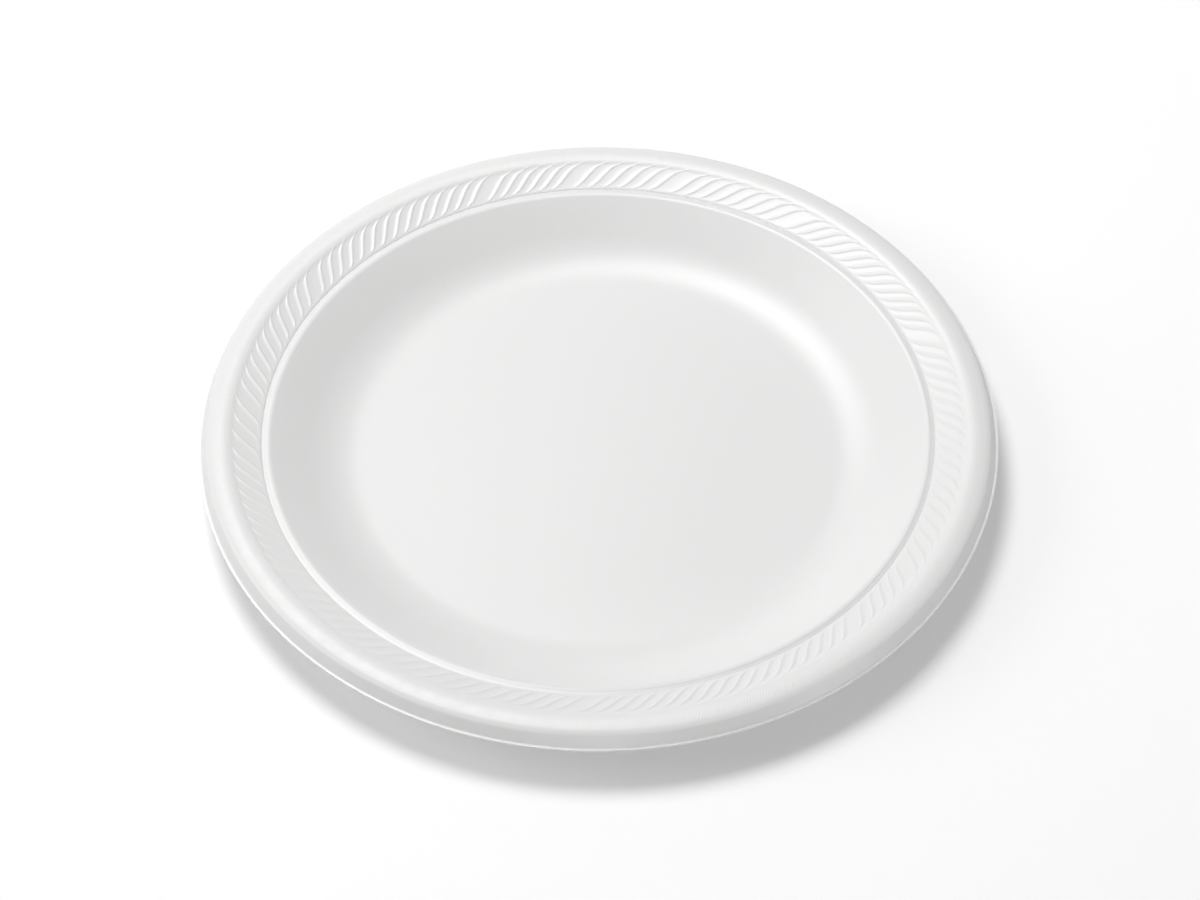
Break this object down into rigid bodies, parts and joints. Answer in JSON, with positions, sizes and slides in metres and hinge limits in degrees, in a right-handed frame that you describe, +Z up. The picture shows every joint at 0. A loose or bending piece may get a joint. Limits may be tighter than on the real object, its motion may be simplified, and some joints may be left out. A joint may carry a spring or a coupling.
{
  "type": "disposable plastic plate",
  "caption": "Round white disposable plate thermoformed from one thin plastic sheet: flat-floored shallow dish, narrow bead, ring of slanted S-shaped ribs and a broad rounded rim turned down.",
  "frame": {"origin": "centre of the floor's underside, on the surface that the plate stands on", "axes": "+Z up along the plate's axis; X and Y lie in the surface that it stands on"},
  "size_m": [0.225, 0.225, 0.0159],
  "materials": {
    "white_plastic": "satin"
  },
  "bodies": {
    "root": {"plate": "white_plastic"}
  },
  "joints": []
}
